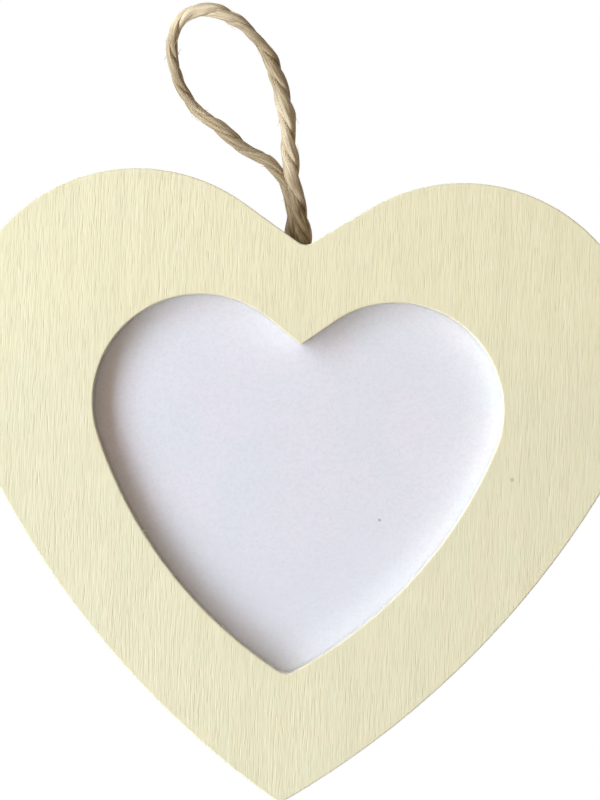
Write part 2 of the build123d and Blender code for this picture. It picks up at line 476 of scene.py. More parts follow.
@dataclass(frozen=True)
class PaintedPly(Finish):
    """Thin cream paint over plywood whose grain stands open, less so on the right."""

    name: str = "cream_paint"
    paint: Colour = (0.852, 0.829, 0.585)
    thin_paint: Colour = (0.722, 0.693, 0.462)
    pale_edge: Colour = (0.910, 0.865, 0.680)
    cool: Coat = Coat((0.820, 0.829, 0.591), 1.0, (0.35, 0.65))
    # Painted light: the paint turns paler towards the top, as if the lamps lit the top more.
    painted_top_light: Coat = Coat((0.897, 0.869, 0.593), 0.8, (-60.0 * MM, -38.0 * MM))
    bands: Coat = Coat(thin_paint, 0.25, (0.3, 0.75))
    worn: Coat = Coat(thin_paint, 0.45)
    pores: Coat = Coat(thin_paint, 0.35)
    streaks: Coat = Coat((0.917, 0.897, 0.698), 0.5)
    fleck: Coat = Coat((0.420, 0.400, 0.330), 0.6)
    rim: Coat = Coat(pale_edge, 0.7)
    wall: Coat = Coat(pale_edge)
    ply_line: Coat = Coat((0.600, 0.520, 0.360), 0.45)
    worn_span: Span = (0.52, 0.34)
    fleck_place: Point = (47.37 * MM, -5.0 * MM, -65.2 * MM)
    fleck_radius: float = 0.42 * MM
    fibre_width: float = 0.17
    fibre_length: float = 2.2
    patches: float = 420.0
    clouds: float = 190.0
    relief: float = 0.055 * MM
    wall_relief: float = 0.3
    pore_depth: float = 0.25
    line_depth: float = 1.5
    line_width: float = 0.09
    filled: float = 0.78
    filled_reach: Span = (8.0 * MM, 48.0 * MM)
    sanding: float = 0.35 * MM
    middle_depth: float = -1.5 * MM
    sanded_reach: Span = (2.9 * MM, 3.2 * MM)
    ply_thickness: float = 1.0 * MM
    roughness: Span = (0.56, 0.72)
    wall_polish: float = 0.24

    def lay(self, bench: Bench) -> None:
        """Lay paint, wear, edges and painted light towards the top, and sand the outer edges round.

        Args:
            bench: The material's shading.
        """
        axes = bench.parts(bench.place)
        grain = bench.group(
            bench.effects.grain, vector=bench.place, width=self.fibre_width, length=self.fibre_length
        )
        masks = bench.masks(self.patches)
        marks = bench.marks(self.clouds)
        open_grain = bench.span(axes["X"], *self.filled_reach, 1.0, self.filled)
        joint = bench.math("PINGPONG", bench.math("DIVIDE", axes["Y"], self.ply_thickness), 0.5)
        line = bench.times(bench.span(joint, 0.0, self.line_width, 1.0, 0.0), masks["Wall"])
        colour = bench.coats(
            self.paint,
            (self.cool, marks["Cloud"]),
            # Painted light: paler paint towards the top.
            (self.painted_top_light, axes["Z"]),
            (self.bands, grain["Bands"]),
            (self.worn, bench.times(bench.span(grain["Fibres"], *self.worn_span), open_grain)),
            (self.pores, grain["Pores"]),
            (self.streaks, grain["Streaks"]),
            (self.fleck, bench.spot(bench.place, self.fleck_place, self.fleck_radius)),
            (self.rim, masks["Edge"]),
            (self.wall, masks["Wall"]),
            (self.ply_line, line),
        )
        height = bench.math("SUBTRACT", grain["Fibres"], bench.times(grain["Pores"], self.pore_depth))
        height = bench.math("SUBTRACT", height, bench.times(line, self.line_depth))
        depth = bench.math("ABSOLUTE", bench.math("SUBTRACT", axes["Y"], self.middle_depth))
        sanded = bench.node("ShaderNodeBevel", samples=8)
        radius = bench.span(depth, *self.sanded_reach, 0.0, self.sanding)
        bench.feed(sanded.inputs["Radius"], radius)
        faced = bench.span(masks["Wall"], 0.0, 1.0, 1.0, self.wall_relief)
        strength = bench.times(faced, open_grain)
        rough = bench.span(grain["Fibres"], 0.2, 0.8, *self.roughness)
        polish = bench.times(masks["Wall"], self.wall_polish)
        bench.finish(
            {
                "Base Color": colour,
                "Normal": bench.raised(height, self.relief, Strength=strength, Normal=sanded.outputs[0]),
                "Roughness": bench.math("SUBTRACT", rough, polish),
                "Coat Weight": masks["Wall"],
                "Coat Roughness": 0.3,
                "Specular IOR Level": 0.3,
            }
        )


@dataclass(frozen=True)
class WhiteCard(Finish):
    """Smooth white card with a faint cool tone."""

    name: str = "white_card"
    card: Colour = (0.796, 0.788, 0.868)
    shade: Coat = Coat((0.742, 0.788, 0.852), 1.0, (0.3, 0.7))
    # Painted shade: the card darkens towards the bottom, near the window's tip.
    painted_low_shade: Coat = Coat((0.725, 0.762, 0.840), 0.75, (-68 * MM, -86 * MM))
    tooth: Coat = Coat((0.670, 0.690, 0.767), 0.42, (0.4, 0.68))
    speck: Coat = Coat((0.520, 0.520, 0.560), 0.08)
    dust: Coat = Coat((0.230, 0.225, 0.250), 0.7)
    dust_place: Point = (28.6 * MM, -1.8 * MM, -71.98 * MM)
    dust_radius: float = 0.30 * MM
    clouds: float = 70.0
    specks: float = 3600.0
    teeth: float = 2400.0
    pulp: float = 5200.0
    relief: float = 0.030 * MM
    roughness: Span = (0.6, 0.75)

    def lay(self, bench: Bench) -> None:
        """Lay clouds, tooth, specks, one dot of dust and painted shade towards the tip on the card.

        Args:
            bench: The material's shading.
        """
        marks = bench.marks(self.clouds, self.specks)
        colour = bench.coats(
            self.card,
            (self.shade, marks["Cloud"]),
            # Painted shade, darker towards the bottom.
            (self.painted_low_shade, bench.parts(bench.place)["Z"]),
            (self.tooth, bench.noise(bench.place, self.teeth)),
            (self.speck, marks["Speck"]),
            (self.dust, bench.spot(bench.place, self.dust_place, self.dust_radius)),
        )
        bench.finish(
            {
                "Base Color": colour,
                "Normal": bench.raised(bench.noise(bench.place, self.pulp), self.relief),
                "Roughness": bench.span(marks["Cloud"], 0.2, 0.8, *self.roughness),
                "Specular IOR Level": 0.2,
            }
        )


@dataclass(frozen=True)
class ClearFilm(Finish):
    """Thin clear film that lets the lamps reach what is behind it."""

    name: str = "clear_film"
    tint: Colour = (0.985, 0.992, 0.99)
    bend: float = 1.49
    clouds: float = 90.0
    haze: Span = (0.02, 0.05)

    def lay(self, bench: Bench) -> None:
        """Make the film clear, with a faint smear, and open to shadow and diffuse rays.

        Args:
            bench: The material's shading.
        """
        marks = bench.marks(self.clouds)
        bench.finish(
            {
                "Base Color": (*self.tint, 1.0),
                "Roughness": bench.span(marks["Cloud"], 0.45, 0.75, *self.haze),
                "IOR": self.bend,
                "Transmission Weight": 1.0,
                "Specular IOR Level": 0.25,
            }
        )
        rays = bench.node("ShaderNodeLightPath").outputs
        passing = bench.math("MAXIMUM", rays["Is Shadow Ray"], rays["Is Diffuse Ray"])
        bench.cover(passing, bench.node("ShaderNodeBsdfTransparent"))


@dataclass(frozen=True)
class Hardboard(Finish):
    """Pressed brown board with the fine screen mark of its rough side."""

    name: str = "hardboard"
    board: Colour = (0.270, 0.165, 0.088)
    pale: Coat = Coat((0.370, 0.240, 0.135), 1.0, (0.3, 0.75))
    fleck: Coat = Coat((0.130, 0.075, 0.040), 0.7)
    screen: Coat = Coat((0.370, 0.240, 0.135), 0.3)
    screen_pitch: float = 1.15 * MM
    screen_span: Span = (-0.3, 0.8)
    patches: float = 500.0
    clouds: float = 700.0
    specks: float = 1900.0
    cloud_height: float = 0.5
    relief: float = 0.10 * MM
    roughness: Span = (0.7, 0.9)

    def lay(self, bench: Bench) -> None:
        """Lay clouds and flecks, and press the screen's mesh into the faces.

        Args:
            bench: The material's shading.
        """
        marks = bench.marks(self.clouds, self.specks)
        masks = bench.masks(self.patches)
        axes = bench.parts(bench.place)
        turns = 2 * math.pi / self.screen_pitch
        across, upwards = (bench.math("SINE", bench.times(axes[axis], turns)) for axis in "XZ")
        pressed = bench.span(bench.times(across, upwards), *self.screen_span)
        mesh = bench.times(pressed, bench.math("SUBTRACT", 1.0, masks["Wall"]))
        colour = bench.coats(
            self.board, (self.pale, marks["Cloud"]), (self.fleck, marks["Speck"]), (self.screen, mesh)
        )
        height = bench.math("ADD", mesh, bench.times(marks["Cloud"], self.cloud_height))
        bench.finish(
            {
                "Base Color": colour,
                "Normal": bench.raised(height, self.relief),
                "Roughness": bench.span(marks["Cloud"], 0.2, 0.8, *self.roughness),
                "Specular IOR Level": 0.25,
            }
        )


@dataclass(frozen=True)
class PlatedBrass(Finish):
    """Stamped steel with a thin brass plating, rubbed bright along its edges."""

    name: str = "brass_plate"
    brass: Colour = (0.760, 0.560, 0.240)
    tarnish: Coat = Coat((0.520, 0.360, 0.150), 1.0, (0.42, 0.72))
    spots: Coat = Coat((0.520, 0.360, 0.150), 0.5)
    rubbed: Coat = Coat((0.900, 0.740, 0.430))
    # Grime with painted shade: the floor of each screw's recess is darkened as if shade fell there.
    grime_and_painted_shade: Coat = Coat((0.110, 0.070, 0.030))
    recess_floor: Span = (3.5 * MM, 4.4 * MM)
    patches: float = 900.0
    clouds: float = 520.0
    specks: float = 2600.0
    scratches: float = 9000.0
    scratch_shape: Point = (1.0, 1.0, 0.12)
    relief: float = 0.012 * MM
    roughness: Span = (0.24, 0.46)

    def lay(self, bench: Bench) -> None:
        """Lay tarnish, bright edges, and grime with painted shade in the screws' recesses.

        Args:
            bench: The material's shading.
        """
        marks = bench.marks(self.clouds, self.specks)
        masks = bench.masks(self.patches)
        depth = bench.parts(bench.place)["Y"]
        low, high = self.recess_floor
        between = bench.times(
            bench.math("GREATER_THAN", depth, low), bench.math("LESS_THAN", depth, high)
        )
        colour = bench.coats(
            self.brass,
            (self.tarnish, marks["Cloud"]),
            (self.spots, marks["Speck"]),
            (self.rubbed, masks["Edge"]),
            # Painted shade with grime on the recess floors.
            (self.grime_and_painted_shade, bench.times(between, bench.math("SUBTRACT", 1.0, masks["Wall"]))),
        )
        drawn = bench.vector("MULTIPLY", bench.place, self.scratch_shape)
        bench.finish(
            {
                "Base Color": colour,
                "Metallic": 1.0,
                "Roughness": bench.span(marks["Cloud"], 0.3, 0.75, *self.roughness),
                "Normal": bench.raised(bench.noise(drawn, self.scratches), self.relief),
            }
        )


@dataclass(frozen=True)
class JuteFibre(Finish):
    """Straw coloured plant fibre, browner where it comes out of the wood.

    It reads the attributes strand, hollow and tone of the twine's meshes.
    """

    name: str = "jute"
    straw: Colour = (0.640, 0.534, 0.346)
    pale: Colour = (0.860, 0.765, 0.545)
    brown: Colour = (0.340, 0.256, 0.138)
    # Dark brown for stains, also used for the painted shade in the creases.
    stain_and_crease_shade: Colour = (0.158, 0.100, 0.034)
    pale_bundles: Coat = Coat(pale, 1.0, (0.44, 0.62))
    brown_bundles: Coat = Coat(brown, 0.6, (0.46, 0.30))
    pale_fibres: Coat = Coat(pale, 0.5, (0.52, 0.74))
    brown_fibres: Coat = Coat(brown, 0.5, (0.48, 0.28))
    speck: Coat = Coat(brown, 0.12)
    # Partly pale fibre, partly a painted highlight: where the tone falls towards 0 the fibre is painted
    # paler.
    bleach_and_painted_highlight: Coat = Coat(pale, 0.65, (0.16, 0.0))
    stained: Coat = Coat(stain_and_crease_shade, 0.88)
    # Here only grime: dark streaks near both ends, where the twine goes into the wood.
    grime_and_painted_shade: Coat = Coat((0.070, 0.043, 0.016), 0.62)
    clean: Coat = Coat((0.470, 0.355, 0.200), 0.6)
    # Painted shade: the fibre is darkened deep in the creases between the plies, where shade falls.
    painted_crease_shade: Coat = Coat(stain_and_crease_shade, 0.38)
    grime_span: Span = (0.48, 0.66)
    clean_span: Span = (0.46, 0.34)
    base_span: Span = (0.7, 0.95)
    fine_shape: Point = (4.0, 4.0, 0.22)
    bundle_shape: Point = (2.1, 2.1, 0.12)
    streak_shape: Point = (1.7, 1.7, 0.45)
    specks: float = 3800.0
    relief: float = 0.014 * MM
    roughness: Span = (0.75, 0.55)

    def lay(self, bench: Bench) -> None:
        """Lay fibres, bundles, stains and the streaks near the wood.

        Args:
            bench: The material's shading.
        """
        read = {
            name: bench.node("ShaderNodeAttribute", attribute_name=name).outputs
            for name in ("strand", "crease_shade", "tone")
        }
        tone = read["tone"]["Fac"]
        shapes = ((self.fine_shape, 1.0), (self.bundle_shape, 2.0), (self.streak_shape, 2.0))
        fine, bundle, streak = (
            bench.noise(bench.vector("MULTIPLY", read["strand"]["Vector"], shape), 1.0, detail)
            for shape, detail in shapes
        )
        marks = bench.marks(specks=self.specks)
        base = bench.span(tone, *self.base_span)
        colour = bench.coats(
            self.straw,
            (self.pale_bundles, bundle),
            (self.brown_bundles, bundle),
            (self.pale_fibres, fine),
            (self.brown_fibres, fine),
            (self.speck, marks["Speck"]),
            # Pale fibre with a painted highlight where the tone is near 0.
            (self.bleach_and_painted_highlight, tone),
            (self.stained, tone),
            (self.grime_and_painted_shade, bench.times(bench.span(streak, *self.grime_span), base)),
            (self.clean, bench.times(bench.span(streak, *self.clean_span), base)),
            # Painted shade in the creases.
            (self.painted_crease_shade, read["crease_shade"]["Fac"]),
        )
        bench.finish(
            {
                "Base Color": colour,
                "Normal": bench.raised(fine, self.relief),
                "Roughness": bench.span(fine, 0.3, 0.7, *self.roughness),
                "Specular IOR Level": 0.3,
                "Sheen Weight": 0.25,
                "Sheen Roughness": 0.4,
            }
        )


@dataclass(frozen=True)
class Station:
    """One place along a strand: its point, two cross directions and its distance from the start."""

    point: Vector
    side: Vector
    rise: Vector
    along: float

    def ways(self, angle: float) -> tuple[Vector, Vector]:
        """Turn the cross directions by an angle, into the way out there and the way across it."""
        cosine, sine = math.cos(angle), math.sin(angle)
        return self.side * cosine + self.rise * sine, self.rise * cosine - self.side * sine


def stations_along(points: list[Vector], step: float) -> list[Station]:
    """Divide a line evenly, with cross directions that turn as little as they can.

    Args:
        points: The line.
        step: The distance between two stations.

    Returns:
        The stations, from the first point to the last.
    """
    lengths = [0.0]
    for first, second in zip(points, points[1:]):
        lengths.append(lengths[-1] + (second - first).length)
    count = max(2, round(lengths[-1] / step))
    places = []
    reached = 0
    for index in range(count + 1):
        along = lengths[-1] * index / count
        while reached < len(points) - 2 and lengths[reached + 1] < along:
            reached += 1
        share = (along - lengths[reached]) / (lengths[reached + 1] - lengths[reached])
        places.append((points[reached].lerp(points[reached + 1], share), along))
    found = []
    side = Vector((0, 1, 0))
    for index, (point, along) in enumerate(places):
        ahead = places[min(index + 1, count)][0]
        behind = places[max(index - 1, 0)][0]
        heading = (ahead - behind).normalized()
        side = (side - heading * side.dot(heading)).normalized()
        found.append(Station(point, side, heading.cross(side), along))
    return found


@dataclass
class TubeMesh:
    """Closed tubes gathered into one mesh, with what the fibre finish reads at each point."""

    name: str

    def __post_init__(self) -> None:
        """Start with no tubes."""
        self.points: list[Vector] = []
        self.faces: list[tuple[int, ...]] = []
        self.strand: list[Point] = []
        self.crease_shade: list[float] = []
        self.tone: list[float] = []

    def add(
        self, rings: list[Ring], strand: list[list[Point]], crease_shade: list[list[float]], tone: list[float]
    ) -> None:
        """Add one tube with both ends closed.

        Args:
            rings: The tube's rings, all with as many points.
            strand: For each point, which way it faces and how far along it lies.
            crease_shade: For each point, 1 deep in a crease and 0 out in the open.
            tone: For each ring, 1 where the fibre is stained dark and 0 where it is clean and palest, with
                a painted highlight.
        """
        first = len(self.points)
        sides = len(rings[0])
        for ring, facings, crease_shades, stained in zip(rings, strand, crease_shade, tone):
            self.points += ring
            self.strand += facings
            self.crease_shade += crease_shades
            self.tone += [stained] * sides
        for index in range(len(rings) - 1):
            low = first + index * sides
            for place in range(sides):
                after = (place + 1) % sides
                self.faces.append((low + place, low + after, low + sides + after, low + sides + place))
        last = first + (len(rings) - 1) * sides
        self.faces.append(tuple(first + place for place in reversed(range(sides))))
        self.faces.append(tuple(last + place for place in range(sides)))

    def build(self, material: bpy.types.Material) -> bpy.types.Object:
        """Make the object.

        Args:
            material: Its finish.

        Returns:
            The new object, at the origin.
        """
        mesh = bpy.data.meshes.new(self.name)
        mesh.from_pydata(self.points, [], self.faces)
        strand = mesh.attributes.new("strand", "FLOAT_VECTOR", "POINT")
        strand.data.foreach_set("vector", [value for point in self.strand for value in point])
        for name, values in (("crease_shade", self.crease_shade), ("tone", self.tone)):
            mesh.attributes.new(name, "FLOAT", "POINT").data.foreach_set("value", values)
        mesh.materials.append(material)
        mesh.polygons.foreach_set("use_smooth", [True] * len(mesh.polygons))
        mesh.update()
        piece = bpy.data.objects.new(self.name, mesh)
        bpy.context.collection.objects.link(piece)
        return piece


@dataclass(frozen=True)
class FibreKind:
    """Loose fibres of one kind: how many, and the spans that start, reach and lift are drawn from.

    Starts are shares of the twine's length. Reaches and lifts are in millimetres.
    """

    count: int
    starts: Span
    reaches: Span
    lifts: Span


@dataclass
class TwineLoop:
    """Two ply jute twine: the loop, its loose fibres and the knot behind the cleft."""

    route: tuple[Point, ...] = (
        (0.01585, 0.0, -0.0355), (0.01585, 0.0, -0.03405), (0.0157, -0.00035, -0.0306),
        (0.0150, -0.00095, -0.0276), (0.01395, -0.0010, -0.0240), (0.0133, -0.0007, -0.0198),
        (0.0126, -0.0004, -0.0154), (0.0119, -0.0002, -0.0110), (0.01045, 0.0, -0.0068),
        (0.0080, 0.00005, -0.0029), (0.0048, 0.0001, 0.0001), (0.00055, 0.0001, 0.00145),
        (-0.00285, 0.0001, 0.0009), (-0.00475, 0.0001, -0.0017), (-0.00475, 0.00015, -0.0053),
        (-0.0037, 0.0002, -0.0097), (-0.00115, 0.0003, -0.01315), (0.0026, 0.0004, -0.01565),
        (0.00595, 0.0005, -0.01855), (0.0102, 0.0008, -0.02025), (0.0132, 0.0011, -0.0240),
        (0.0141, 0.0012, -0.0276), (0.01375, 0.0005, -0.0307), (0.01375, 0.0, -0.03405),
        (0.01375, 0.0, -0.0355),
    )
    widths: tuple[Span, ...] = (
        (0.00, 2.0), (0.05, 2.45), (0.10, 2.1), (0.14, 2.05), (0.178, 2.5), (0.219, 2.1),
        (0.254, 2.5), (0.29, 2.35), (0.33, 2.25), (0.37, 1.5), (0.40, 1.5), (0.425, 1.95),
        (0.461, 2.05), (0.52, 1.65), (0.60, 1.6), (0.65, 1.6), (0.70, 1.65), (0.745, 2.05),
        (0.79, 1.65), (0.82, 1.85), (0.86, 1.7), (0.92, 1.8), (1.00, 2.0),
    )
    # Tone along the twine: high near both ends for the stains, near 0 at the loop's top and one place
    # further on, for a painted highlight.
    tones: tuple[Span, ...] = (
        (0.00, 1.0), (0.09, 0.91), (0.12, 0.64), (0.16, 0.28), (0.25, 0.26), (0.30, 0.62),
        (0.39, 0.66), (0.46, 0.10), (0.52, 0.0), (0.575, 0.54), (0.625, 0.70), (0.655, 0.64),
        (0.692, 0.12), (0.73, 0.55), (0.755, 0.57), (0.80, 0.54), (0.90, 0.67), (1.00, 1.0),
    )
    crossings: tuple[float, ...] = (
        4.8, 10.2, 15.5, 21.3, 26.6, 32.0, 37.5, 42.0, 47.0,
        53.0, 57.5, 63.0, 67.5, 72.0, 76.5, 81.0, 86.0, 91.0,
    )
    length: float = 90.0 * MM
    diameter: float = 2.0 * MM
    step: float = 0.16 * MM
    sides: int = 36
    ply_offset: float = 0.36
    ply_depth: float = 0.66
    ply_breadth: float = 0.90
    ply_bulk: Span = (1.10, 0.90)
    crease_shade_reach: Span = (0.70, 0.86)
    knuckle_mean: float = 0.020
    knuckle_side: float = 0.095
    knuckle_fade: Span = (38.0 * MM, 46.0 * MM)
    knuckle_left: float = 0.35
    swell: float = 0.11
    swell_length: float = 7.0 * MM
    swell_pace: float = 2.2
    beat: float = 0.6
    beat_length: float = 4.0 * MM
    crease_depth: float = 0.035
    crease_width: float = 0.11
    crease_pace: float = 1.7
    lying_fibres: FibreKind = FibreKind(46, (0.02, 0.98), (3.0, 9.0), (0.0, 0.05))
    stray_fibres: FibreKind = FibreKind(22, (0.08, 0.92), (1.2, 3.0), (0.2, 0.7))
    tufts: tuple[FibreKind, ...] = (
        FibreKind(8, (0.667, 0.683), (0.7, 1.6), (0.2, 0.6)),
        FibreKind(6, (0.562, 0.578), (0.7, 1.6), (0.2, 0.6)),
    )
    fibre_radius: float = 0.036 * MM
    fibre_sizes: Span = (0.7, 1.3)
    fibre_lay: float = 0.86
    fibre_apart: float = 40.0
    ply_apart: float = 9.0
    fibre_drift: float = 0.5
    fibre_gap: float = 0.2
    fibre_rise: float = 2.2
    fibre_taper: float = 0.6
    fibre_bends: int = 10
    fibre_pieces: int = 9
    fibre_step: float = 0.2 * MM
    fibre_sides: int = 4
    knot_breadth: float = 1.62 * MM
    knot_depth: float = 0.72 * MM
    knot_drop: float = 0.25 * MM
    knot_width: float = 1.75 * MM
    knot_start: float = 0.02
    knot_reach: float = 0.97
    knot_steps: int = 120
    seed: int = 11

    def guide(self) -> list[Vector]:
        """Read the route's smooth line.

        Returns:
            Points along a NURBS spline that has the route as its control points.
        """
        curve = bpy.data.curves.new("twine_route", "CURVE")
        curve.dimensions = "3D"
        curve.resolution_u = 24
        spline = curve.splines.new("NURBS")
        spline.points.add(len(self.route) - 1)
        for control, place in zip(spline.points, self.route):
            control.co = (*place, 1.0)
        spline.order_u = 3
        spline.use_endpoint_u = True
        holder = bpy.data.objects.new("twine_route", curve)
        bpy.context.collection.objects.link(holder)
        line = bpy.data.meshes.new_from_object(holder)
        points = [vertex.co.copy() for vertex in line.vertices]
        bpy.data.objects.remove(holder)
        bpy.data.meshes.remove(line)
        return points

    def eased(self, listed: tuple[Span, ...], share: float) -> float:
        """Read a list of shares and values at one share, eased between its entries.

        Args:
            listed: Pairs of a share of the twine's length and the value there.
            share: The share to read at.

        Returns:
            The value.
        """
        for (low, start), (high, end) in zip(listed, listed[1:]):
            if share <= high:
                return start + (end - start) * smooth_step(share, low, high)
        return listed[-1][1]

    def width_at(self, share: float) -> float:
        """Twine's width at a share of its length."""
        return self.eased(self.widths, share) * MM

    def phase_at(self, along: float) -> float:
        """Angle of the first ply about the twine's middle.

        Args:
            along: The distance along the twine.

        Returns:
            The angle. It falls by half a turn from one crossing to the next, and at a crossing the
            plies lie side by side as seen from the front.
        """
        place = along / MM
        last = len(self.crossings) - 2
        index = min(last, max(0, sum(place > crossing for crossing in self.crossings) - 1))
        low, high = self.crossings[index : index + 2]
        return math.pi * (0.5 - index - (place - low) / (high - low))

    def knuckle(self, facing: float, along: float) -> float:
        """Bulge of a ply at a crossing, on the loop's outer side.

        Args:
            facing: The direction that the surface faces, about the twine's middle.
            along: The distance along the twine.

        Returns:
            What is added to the factor for the ply's size there.
        """
        strength = 1 - (1 - self.knuckle_left) * smooth_step(along, *self.knuckle_fade)
        bunched = -math.cos(2 * self.phase_at(along))
        return strength * bunched * (self.knuckle_mean - self.knuckle_side * math.sin(facing))

    def lump(self, facing: float, along: float, ply: int) -> float:
        """Swell and crease of a ply's surface, drawn out along the fibres.

        Args:
            facing: The direction that the surface faces, about the twine's middle.
            along: The distance along the twine.
            ply: Which of the two plies it is.

        Returns:
            A factor for the ply's size there.
        """
        # The bare numbers are places in the noise, far enough apart to keep its readings unlike.
        place = Vector((math.cos(facing), math.sin(facing), along / self.swell_length)) * self.swell_pace
        place.x += 17.0 * ply
        beat = noise.noise(Vector((along / self.beat_length, 9.4 * ply, 2.2)))
        swell = noise.noise(place) + self.beat * beat
        crease = noise.noise(place * self.crease_pace + Vector((5.2, 1.3, 8.8))) / self.crease_width
        smooth = 1 + self.knuckle(facing, along)
        return smooth + self.swell * swell - self.crease_depth * math.exp(-crease * crease)

    def wind(self, tubes: TubeMesh, stations: list[Station], width: Callable[[float], float]) -> None:
        """Wind the two plies along a line of stations.

        Args:
            tubes: The mesh that the plies go into.
            stations: The line.
            width: The twine's width at a share of the line's length.
        """
        total = stations[-1].along
        tones = [self.eased(self.tones, station.along / total) for station in stations]
        for ply, bulk in enumerate(self.ply_bulk):
            rings, facings, crease_shades = [], [], []
            for station in stations:
                half = width(station.along / total) / 2
                phase = self.phase_at(station.along) + math.pi * ply
                out, across = station.ways(phase)
                ring, faced, deep = [], [], []
                for place in range(self.sides):
                    turn = 2 * math.pi * place / self.sides
                    size = half * bulk * self.lump(phase + turn, station.along, ply)
                    outwards = half * self.ply_offset + size * self.ply_depth * math.cos(turn)
                    sidewards = size * self.ply_breadth * math.sin(turn)
                    ring.append(station.point + out * outwards + across * sidewards)
                    laid = turn + phase * self.fibre_lay
                    apart = self.ply_apart * ply
                    faced.append((math.cos(laid) + apart, math.sin(laid), station.along / MM))
                    # How deep in a crease each point lies, for the shade that the jute finish paints
                    # there.
                    away = math.hypot(outwards, sidewards) / half
                    deep.append(1 - smooth_step(away, *self.crease_shade_reach))
                rings.append(ring)
                facings.append(faced)
                crease_shades.append(deep)
            tubes.add(rings, facings, crease_shades, tones)

    def surface(self, station: Station, facing: float, share: float) -> float:
        """How far the twine's skin lies from its middle.

        Args:
            station: The place along the twine.
            facing: The direction, about the twine's middle.
            share: The share of the twine's length there.

        Returns:
            The distance to the outer one of the two plies.
        """
        half = self.width_at(share) / 2
        reach = 0.0
        for ply, bulk in enumerate(self.ply_bulk):
            turn = facing - self.phase_at(station.along) - math.pi * ply
            size = half * bulk * self.lump(facing, station.along, ply)
            deep, broad, offset = size * self.ply_depth, size * self.ply_breadth, half * self.ply_offset
            square = (math.cos(turn) / deep) ** 2 + (math.sin(turn) / broad) ** 2
            slope = offset * math.cos(turn) / deep**2
            rest = slope**2 - square * ((offset / deep) ** 2 - 1)
            if rest > 0:
                reach = max(reach, (slope + math.sqrt(rest)) / square)
        return reach

    def fibre(
        self, tubes: TubeMesh, stations: list[Station], draw: random.Random, kind: FibreKind
    ) -> None:
        """Add one fibre that lies along the twine and may stand off it at one end.

        Args:
            tubes: The mesh that the fibre goes into.
            stations: The twine's line.
            draw: The source of random choices.
            kind: What its start, its reach along the twine and its free end's lift are drawn from.
        """
        start = draw.uniform(*kind.starts)
        reach = draw.uniform(*kind.reaches) * MM
        lift = draw.uniform(*kind.lifts) * MM
        first = round(start * (len(stations) - 1))
        span = round(reach / self.step) * draw.choice((-1, 1))
        facing = draw.uniform(0, 2 * math.pi)
        drift = draw.uniform(-self.fibre_drift, self.fibre_drift)
        curl = draw.uniform(-1.0, 1.0) * lift
        radius = self.fibre_radius * draw.uniform(*self.fibre_sizes)
        line = []
        for bend in range(self.fibre_bends + 1):
            share = bend / self.fibre_bends
            index = min(len(stations) - 1, max(0, round(first + span * share)))
            station = stations[index]
            wound = self.phase_at(station.along) - self.phase_at(stations[first].along)
            angle = facing + drift * share + wound * (1 - self.fibre_lay)
            away = self.surface(station, angle, station.along / stations[-1].along)
            away += self.fibre_radius * self.fibre_gap + lift * share**self.fibre_rise
            out, across = station.ways(angle)
            line.append(station.point + out * away + across * curl * share**2)
        apart = self.fibre_apart * curl / MM
        strand = (math.cos(facing) + apart, math.sin(facing), first * self.step / MM)
        step = max(self.fibre_step, abs(span) * self.step / self.fibre_pieces)
        rings = []
        for place in stations_along(line, step):
            thin = radius * (1 - self.fibre_taper * place.along / max(place.along, reach + lift))
            turns = [2 * math.pi * side / self.fibre_sides for side in range(self.fibre_sides)]
            rings.append([place.point + place.ways(turn)[0] * thin for turn in turns])
        facings = [[strand] * self.fibre_sides] * len(rings)
        crease_shades = [[0.0] * self.fibre_sides] * len(rings)
        tubes.add(rings, facings, crease_shades, [self.eased(self.tones, start)] * len(rings))

    def knot_line(self) -> list[Vector]:
        """An overhand knot's path in the space of the CAD knot.

        Returns:
            Points along the path.
        """
        low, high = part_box("twine_knot")
        middle = (low + high) / 2
        middle.z -= self.knot_drop
        points = []
        for index in range(self.knot_steps + 1):
            turn = 2 * math.pi * (self.knot_start + self.knot_reach * index / self.knot_steps)
            across = (math.sin(turn) + 2 * math.sin(2 * turn)) / 3
            upwards = (math.cos(turn) - 2 * math.cos(2 * turn)) / 3
            deep = -self.knot_depth * math.sin(3 * turn)
            points.append(middle + Vector((self.knot_breadth * across, deep, self.knot_breadth * upwards)))
        return points

    def build(self, material: bpy.types.Material) -> list[bpy.types.Object]:
        """Args:
            material: The fibre finish.

        Returns:
            The pieces.
        """
        stations = stations_along(self.guide(), self.step)
        tubes = TubeMesh("twine_strand")
        self.wind(tubes, stations, self.width_at)
        strand = tubes.build(material)

        draw = random.Random(self.seed)
        loose = TubeMesh("twine_fibres")
        for kind in (self.lying_fibres, self.stray_fibres, *self.tufts):
            for _ in range(kind.count):
                self.fibre(loose, stations, draw, kind)
        fibres = loose.build(material)

        turns = TubeMesh("twine_knot_turns")
        self.wind(turns, stations_along(self.knot_line(), self.step), lambda share: self.knot_width)
        knot = turns.build(material)

        for piece, node in ((strand, "hanging_twine"), (knot, "twine_knot")):
            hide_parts(node)
        for piece in (strand, fibres, knot):
            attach(piece, BODY)
        return [strand, fibres, knot]


